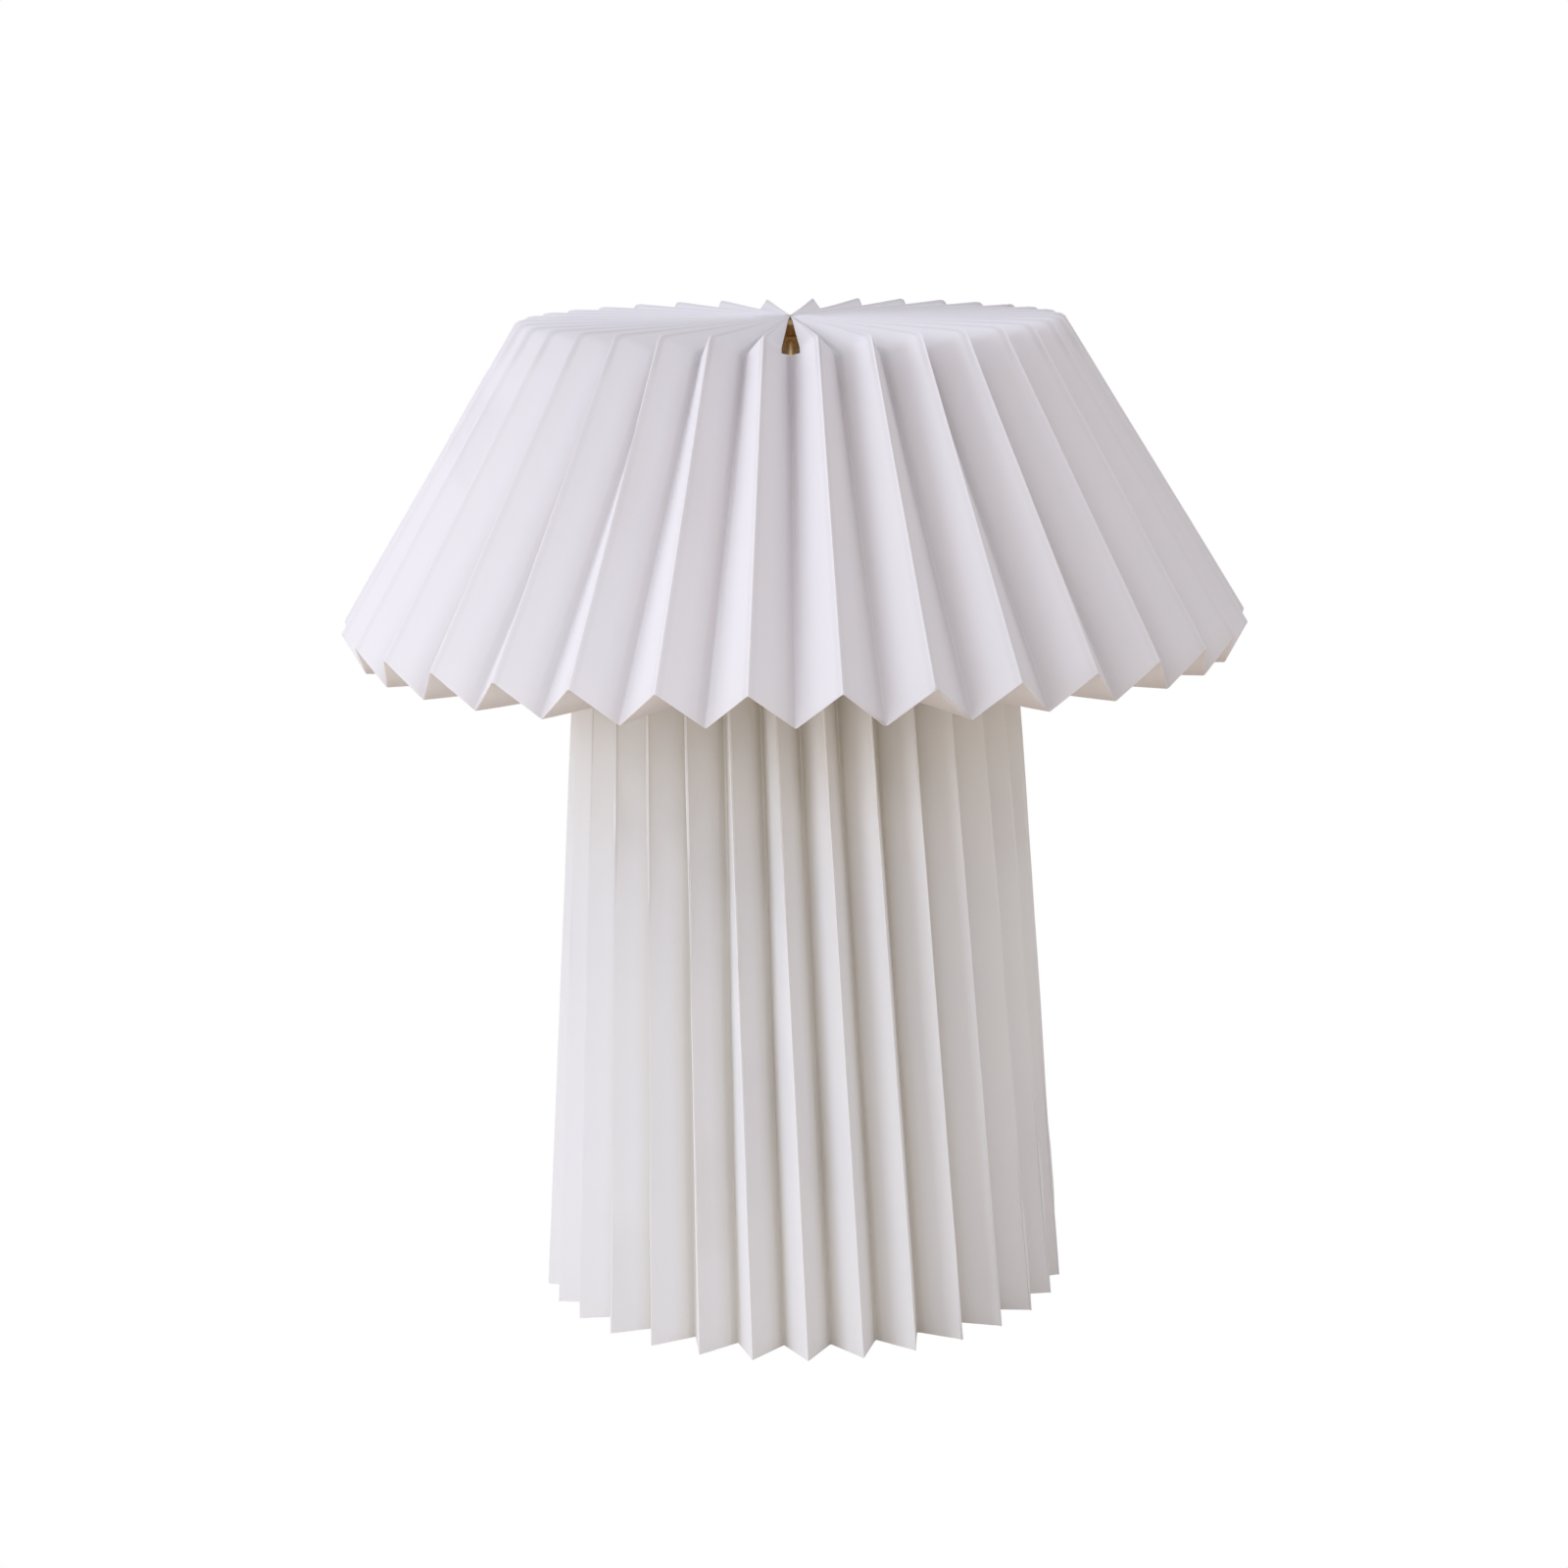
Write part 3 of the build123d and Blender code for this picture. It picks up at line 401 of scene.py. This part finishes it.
class Finish:
    """A procedural material, built from the object's own coordinates."""

    def __init__(self, name, colour, **constants):
        self.material = bpy.data.materials.new(name)
        self.material.use_nodes = True
        self.material.diffuse_color = (*colour, 1)
        self.tree = self.material.node_tree
        self.shader = self.tree.nodes["Principled BSDF"]
        self.shader.inputs["Base Color"].default_value = (*colour, 1)
        for key, value in constants.items():
            self.shader.inputs[key.replace("_", " ")].default_value = value

    def node(self, kind, settings=None, sockets=None, output=0):
        """Any node, with its settings and its sockets, as one of its outputs."""
        new = self.tree.nodes.new(kind)
        for key, value in (settings or {}).items():
            setattr(new, key, value)
        for key, value in (sockets or {}).items():
            self.feed(new.inputs[key], value)
        return Value(self, new.outputs[output])

    def feed(self, socket, value):
        if isinstance(value, Value):
            self.tree.links.new(value.socket, socket)
        else:
            socket.default_value = value

    def drive(self, name, value):
        """Feeds one of the shader's own sockets."""
        self.feed(self.shader.inputs[name], value)

    def place(self, stretch=(1, 1, 1)):
        """The object's own coordinates, stretched."""
        where = self.node("ShaderNodeTexCoord", output="Object")
        return self.node("ShaderNodeMapping", sockets={"Vector": where, "Scale": stretch})

    def across_pleat(self, pleats, start=0.0, twist=0.0, low=0.0, high=1.0):
        """0 in the valleys of the folded paper and 1 on its ridges.

        start turns the first valley, and twist turns it further between two heights.
        """
        where = self.node("ShaderNodeTexCoord", output="Object")
        x, y, z = (
            self.node("ShaderNodeSeparateXYZ", sockets={0: where}, output=i) for i in range(3)
        )
        angle = self.node("ShaderNodeMath", {"operation": "ARCTAN2"}, {0: x, 1: y * -1.0})
        turned = angle - start - (z - low) * (twist / (high - low))
        return self.node(
            "ShaderNodeMath", {"operation": "PINGPONG"}, {0: turned * (pleats / pi), 1: 1.0}
        )

    def height(self):
        """Height on the object, in metres."""
        where = self.node("ShaderNodeTexCoord", output="Object")
        return self.node("ShaderNodeSeparateXYZ", sockets={0: where}, output=2)

    def noise(self, scale, detail=2.0, roughness=0.5, stretch=(1, 1, 1)):
        """Noise from 0 to 1, scale in cells per metre."""
        return self.node(
            "ShaderNodeTexNoise", {"noise_dimensions": "3D"},
            {"Vector": self.place(stretch), "Scale": scale, "Detail": detail,
             "Roughness": roughness},
        )

    def blend(self, factor, first, second):
        """Colour between two, by a factor."""
        return self.node(
            "ShaderNodeMix", {"data_type": "RGBA"},
            {"Factor": factor, 6: first if isinstance(first, Value) else (*first, 1),
             7: second if isinstance(second, Value) else (*second, 1)},
            output=2,
        )

    def relief(self, height, distance, strength=1.0):
        """Bump from a height of 0 to 1, as deep as a distance in metres."""
        bump = self.node(
            "ShaderNodeBump", sockets={"Height": height, "Distance": distance,
                                       "Strength": strength},
        )
        self.drive("Normal", bump)


def tinted(colour, factor):
    return tuple(min(1.0, channel * factor) for channel in colour)


def lit_through(finish, colour, share):
    """Lets some light come through thin paper."""
    through = finish.node("ShaderNodeBsdfTranslucent", sockets={"Color": (*colour, 1)})
    mixed = finish.node(
        "ShaderNodeMixShader", sockets={0: share, 1: Value(finish, finish.shader.outputs[0]),
                                        2: through},
    )
    finish.feed(finish.tree.nodes["Material Output"].inputs["Surface"], mixed)


def paper(name, colour, warmth, grain=1.0, pleats=None, valley=None, shelter=None, fan=None,
          through=0.0):
    """Uncoated card: faint clouds, short fibres, a soft tooth, painted shade along its folds
    and, where asked, painted warm bounce light.

    pleats: the arguments of across_pleat.
    valley: colour of the painted shade at the bottom of the folds.
    shelter: heights between which a painted warm bounce light grows.
    fan: heights between which the painted shade along the folds narrows to a line.
    through: share of the light that comes through.
    """
    finish = Finish(name, colour, Specular_IOR_Level=0.25, IOR=1.45)
    clouds = finish.noise(28, detail=3)
    fibres = finish.noise(900, detail=3, roughness=0.6, stretch=(1, 1, 0.35))
    tooth = finish.noise(2600, detail=2)
    warm = tuple(min(1, a * b) for a, b in zip(colour, warmth))
    base = finish.blend(clouds, tinted(colour, 0.985), warm)
    height = fibres * 0.3 + tooth * 0.2
    if pleats:
        across = finish.across_pleat(*pleats)
        # Painted shade: darker towards the valleys of the folds, where shade falls.
        valley_shade = across.ramp(0.6, 0.0)
        # Painted shade: fine dark lines beside the folds, where the paper was creased.
        fold_line_shade = across.ramp(0.085, 0.06) * across.ramp(0.03, 0.06)
        if fan:
            flat = finish.height().ramp(*fan)
            valley_shade = valley_shade * (1.0 - 0.5 * flat)
            # Painted shade: on the fan, dark lines along its tight folds; a dark line beside
            # each ridge, stronger on the fan.
            beside_ridge = across.ramp(0.84, 0.92) * across.ramp(0.99, 0.93)
            fold_line_shade = fold_line_shade * (1.0 - flat) + across.ramp(0.3, 0.1) * flat * 1.5
            fold_line_shade = fold_line_shade + beside_ridge * (0.55 + 0.95 * flat)
        base = finish.blend(valley_shade, base, tuple(a * b for a, b in zip(colour, valley)))
        base = finish.blend(fold_line_shade * 0.4, base, tinted(colour, 0.8))
        height = height + across.ramp(0.0, 0.22) * 8.0
    if shelter:
        # Painted warm bounce light, growing between two heights, as under the lamp shade.
        under_shade_mask = finish.height().ramp(*shelter)
        bounce_colour = tuple(a * b for a, b in zip(colour, PAINTED_BOUNCE_TINT))
        base = finish.blend(under_shade_mask * PAINTED_BOUNCE_SHARE, base, bounce_colour)
    finish.drive("Base Color", finish.blend(fibres * 0.12, base, tinted(colour, 0.9)))
    finish.drive("Roughness", 0.82 + 0.12 * clouds)
    finish.relief(height, 0.00012 * grain, 0.5)
    if through:
        lit_through(finish, THROUGH_COLOUR, through)
    return finish.material


def metal(name, colour, roughness, streak=(1, 1, 1), scale=420.0):
    """Bare or plated metal with fine drawing marks and dull patches."""
    finish = Finish(name, colour, Metallic=1.0)
    marks = finish.noise(scale, detail=3, stretch=streak)
    dull = finish.noise(55, detail=2)
    finish.drive("Base Color", finish.blend(dull, colour, tinted(colour, 0.86)))
    finish.drive("Roughness", roughness + 0.12 * dull + 0.06 * marks)
    finish.relief(marks, 0.00002, 0.4)
    return finish.material


def moulded(name, colour, roughness, grain=260.0, depth=0.00004, **constants):
    """Moulded plastic, rubber or ceramic with a fine surface grain."""
    finish = Finish(name, colour, **constants)
    spots = finish.noise(grain, detail=2)
    shade = finish.noise(35, detail=2)
    finish.drive("Base Color", finish.blend(shade, colour, tinted(colour, 0.9)))
    finish.drive("Roughness", roughness + 0.1 * spots)
    finish.relief(spots, depth, 0.5)
    return finish.material


def powder_coat(name, colour):
    """Powder-coated steel with an orange-peel surface."""
    finish = Finish(name, colour, Coat_Weight=0.1, Coat_Roughness=0.4)
    peel = finish.noise(700, detail=1)
    finish.drive("Base Color", finish.blend(peel, colour, tinted(colour, 0.93)))
    finish.drive("Roughness", 0.5 + 0.12 * peel)
    finish.relief(peel, 0.00008, 0.6)
    return finish.material


SHADE_WHITE = (0.93, 0.93, 0.985)
COLUMN_WHITE = (0.855, 0.857, 0.885)
SHADE_FOLDS = (SHADE_PLEATS,)
COLUMN_FOLDS = (COLUMN_PLEATS, COLUMN_START + pi / COLUMN_PLEATS, COLUMN_TWIST, COLUMN_FOOT_Z,
                COLUMN_TOP_Z)
THROUGH_SHADE = 0.18
THROUGH_COLOUR = (1.0, 0.77, 0.44)
FAN_HEIGHTS = (0.375, 0.386)
# Painted warm bounce light on the column paper under the lamp shade.
PAINTED_BOUNCE_HEIGHTS = (0.16, 0.28)
PAINTED_BOUNCE_TINT = (1.08, 1.0, 0.80)
PAINTED_BOUNCE_SHARE = 0.33
# Colours of the painted shade in the valleys of the folds; the column's is warmer, painted warm
# bounce light too.
SHADE_PAPER_VALLEY_SHADE = (0.87, 0.85, 0.83)
COLUMN_PAPER_VALLEY_SHADE = (0.88, 0.845, 0.76)

shade_white = paper(
    "shade paper", SHADE_WHITE, (1.01, 1.0, 0.985), 1.0, SHADE_FOLDS, SHADE_PAPER_VALLEY_SHADE,
    fan=FAN_HEIGHTS, through=THROUGH_SHADE)
# Fold material, lighter than the paper: a painted highlight along the folds, with painted shade
# in their valleys.
shade_fold_painted_light = paper(
    "shade paper at a fold", tinted(SHADE_WHITE, 1.12), (1.0, 1.0, 1.0), 0.5, SHADE_FOLDS,
    tinted(SHADE_PAPER_VALLEY_SHADE, 0.85), through=THROUGH_SHADE)
shade_edge = paper("shade paper, cut edge", tinted(SHADE_WHITE, 0.97), (1.0, 0.99, 0.97), 1.5)
column_white = paper(
    "column paper", COLUMN_WHITE, (1.01, 1.0, 0.98), 1.0, COLUMN_FOLDS, COLUMN_PAPER_VALLEY_SHADE,
    PAINTED_BOUNCE_HEIGHTS)
# Fold material, lighter than the paper: a painted highlight along the column's folds, with
# painted shade in their valleys.
column_fold_painted_light = paper(
    "column paper at a fold", tinted(COLUMN_WHITE, 1.13), (1.0, 1.0, 1.0), 0.5, COLUMN_FOLDS,
    tinted(COLUMN_PAPER_VALLEY_SHADE, 0.9), PAINTED_BOUNCE_HEIGHTS)
column_edge = paper("column paper, cut edge", tinted(COLUMN_WHITE, 0.97), (1.0, 0.99, 0.97), 1.5)
tape = paper("gummed paper tape", (0.74, 0.68, 0.58), (0.97, 0.95, 0.9))
# The card disc: the amber of kraft card, made brighter as a painted glow of the light that comes
# through the shade paper.
card = paper("card disc", (0.93, 0.70, 0.40), (0.98, 0.96, 0.92), 1.5)

brass = metal("brassed wire", (0.93, 0.68, 0.33), 0.36, (1, 1, 1), 700)
zinc = metal("zinc plate", (0.72, 0.73, 0.75), 0.34)
contact_brass = metal("contact brass", (0.83, 0.66, 0.36), 0.3)
cap_nickel = metal("nickelled bulb cap", (0.76, 0.75, 0.72), 0.28, (1, 1, 4))
hub_brass = metal("turned brass", (0.96, 0.74, 0.38), 0.42, (1, 1, 6))

wire_white = powder_coat("white wire", (0.80, 0.79, 0.76))
plate_coat = powder_coat("plate coat", (0.72, 0.71, 0.69))
rubber = moulded("foot rubber", (0.045, 0.045, 0.047), 0.72, 500, 0.00006)
saddle_nylon = moulded("saddle nylon", (0.78, 0.76, 0.70), 0.42)
bushing_nylon = moulded("bushing nylon", (0.80, 0.79, 0.76), 0.4)
holder_resin = moulded("holder resin", (0.78, 0.77, 0.74), 0.34, Coat_Weight=0.15)
porcelain = moulded("glazed porcelain", (0.86, 0.85, 0.81), 0.16, 120, 0.00002, Coat_Weight=0.4)
bulb_black = moulded("bulb insulator glass", (0.03, 0.03, 0.035), 0.2)
bulb_white = moulded("bulb housing plastic", (0.84, 0.84, 0.83), 0.36)
frosted = moulded(
    "frosted globe", (0.88, 0.88, 0.86), 0.42, 300, 0.00002, Subsurface_Weight=0.25,
    Subsurface_Scale=0.004,
)

NODE_FINISHES = {
    "base_plate": plate_coat,
    "foot_pads": rubber,
    "foot_ring": wire_white,
    "uprights": brass,
    "upright_nuts": zinc,
    "column_ring": wire_white,
    "support_ring": brass,
    "column_seam_strip": tape,
    "stem_tube": zinc,
    "stem_bottom_nut": zinc,
    "stem_washer": zinc,
    "stem_plate_nut": zinc,
    "stem_holder_nut": zinc,
    "inlet_bracket": zinc,
    "inlet_screws": zinc,
    "inlet_bushing": bushing_nylon,
    "inlet_nut": bushing_nylon,
    "holder_cap": holder_resin,
    "holder_shell": holder_resin,
    "holder_insert": porcelain,
    "holder_sleeve": contact_brass,
    "holder_sleeve_spacer": bushing_nylon,
    "holder_centre_contact": contact_brass,
    "holder_terminals": contact_brass,
    "shade_seam_strip": tape,
    "shade_shoulder_ring": brass,
    "shade_lower_ring": wire_white,
    "shade_arms": brass,
    "shade_hub": hub_brass,
    "shade_saddles": saddle_nylon,
    "shade_centre_disc": card,
    "bulb_tip": contact_brass,
    "bulb_insulator": bulb_black,
    "bulb_cap": cap_nickel,
    "bulb_housing": bulb_white,
    "bulb_board": bulb_white,
    "bulb_globe": frosted,
}
for node, finish in NODE_FINISHES.items():
    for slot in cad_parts[node].material_slots:
        slot.material = finish


# ---- The paper on its bodies ----
def sheet_of(piece, finishes, body, slot, *nodes):
    for finish in finishes:
        piece.data.materials.append(finish)
    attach(piece, body)
    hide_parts(*nodes)


sheet_of(
    shade_paper(), (shade_white, shade_fold_painted_light, shade_edge), "shade", "paper_shade",
    "shade_skirt_paper", "shade_top_paper",
)
sheet_of(
    column_paper(), (column_white, column_fold_painted_light, column_edge), "base", "paper_column",
    "column_paper",
)


# ---- Floor, light and camera ----
def studio_floor():
    """Plain white floor that runs out of sight."""
    begin()
    bpy.ops.mesh.primitive_circle_add(vertices=64, radius=30, fill_type="NGON")
    floor = place_in_mesh("floor")
    finish = Finish("floor white", (0.90, 0.80, 0.66), Roughness=1.0, Specular_IOR_Level=0.0)
    tree = finish.tree
    glow = tree.nodes.new("ShaderNodeEmission")
    glow.inputs["Strength"].default_value = 1.0
    path = tree.nodes.new("ShaderNodeLightPath")
    mix = tree.nodes.new("ShaderNodeMixShader")
    tree.links.new(path.outputs["Is Camera Ray"], mix.inputs[0])
    tree.links.new(finish.shader.outputs[0], mix.inputs[1])
    tree.links.new(glow.outputs[0], mix.inputs[2])
    tree.links.new(mix.outputs[0], tree.nodes["Material Output"].inputs["Surface"])
    floor.data.materials.append(finish.material)


def studio_world(colour, strength):
    """White surroundings, dimmer as light than as backdrop."""
    world = bpy.data.worlds.new("studio")
    bpy.context.scene.world = world
    world.use_nodes = True
    tree = world.node_tree
    shown = tree.nodes["Background"]
    shown.inputs["Color"].default_value = (1, 1, 1, 1)
    light = tree.nodes.new("ShaderNodeBackground")
    light.inputs["Color"].default_value = (*colour, 1)
    light.inputs["Strength"].default_value = strength
    path = tree.nodes.new("ShaderNodeLightPath")
    mix = tree.nodes.new("ShaderNodeMixShader")
    tree.links.new(path.outputs["Is Camera Ray"], mix.inputs[0])
    tree.links.new(light.outputs[0], mix.inputs[1])
    tree.links.new(shown.outputs[0], mix.inputs[2])
    tree.links.new(mix.outputs[0], tree.nodes["World Output"].inputs["Surface"])


def soft_light(name, azimuth, elevation, power, colour):
    """Square softbox that faces the lamp. Azimuth from the front, towards the right."""
    a, e = radians(azimuth), radians(elevation)
    towards = Vector((sin(a) * cos(e), -cos(a) * cos(e), sin(e)))
    begin()
    bpy.ops.object.light_add(
        type="AREA", location=towards * SOFTBOX_DISTANCE + Vector((0, 0, 0.2)),
        rotation=towards.to_track_quat("Z", "Y").to_euler(),
    )
    light = bpy.context.object
    light.name = name
    light.data.size = SOFTBOX_SIZE
    light.data.energy = power
    light.data.color = colour


def photo_camera():
    """Camera at the photograph's place, a little above the shade."""
    yaw, pitch = CAMERA_YAW, CAMERA_PITCH
    forward = Vector((sin(yaw) * cos(pitch), cos(yaw) * cos(pitch), -sin(pitch)))
    right = Vector((cos(yaw), -sin(yaw), 0))
    up = right.cross(forward)
    rolled_right = right * cos(CAMERA_ROLL) + up * sin(CAMERA_ROLL)
    rolled_up = up * cos(CAMERA_ROLL) - right * sin(CAMERA_ROLL)
    turn = Matrix((rolled_right, rolled_up, -forward)).transposed()
    begin()
    bpy.ops.object.camera_add(location=CAMERA_PLACE, rotation=turn.to_euler())
    camera = bpy.context.object
    camera.data.sensor_width = CAMERA_SENSOR
    camera.data.lens = CAMERA_LENS
    bpy.context.scene.camera = camera


studio_floor()
studio_world((0.96, 0.955, 1.0), 0.70)
soft_light("key", -50, 14, 13.5, (0.79, 0.86, 1.0))
soft_light("side", -85, 32, 5.0, (0.86, 0.90, 1.0))
soft_light("top", -25, 62, 5.0, (0.90, 0.92, 1.0))
photo_camera()
bpy.context.scene.view_settings.view_transform = "Standard"
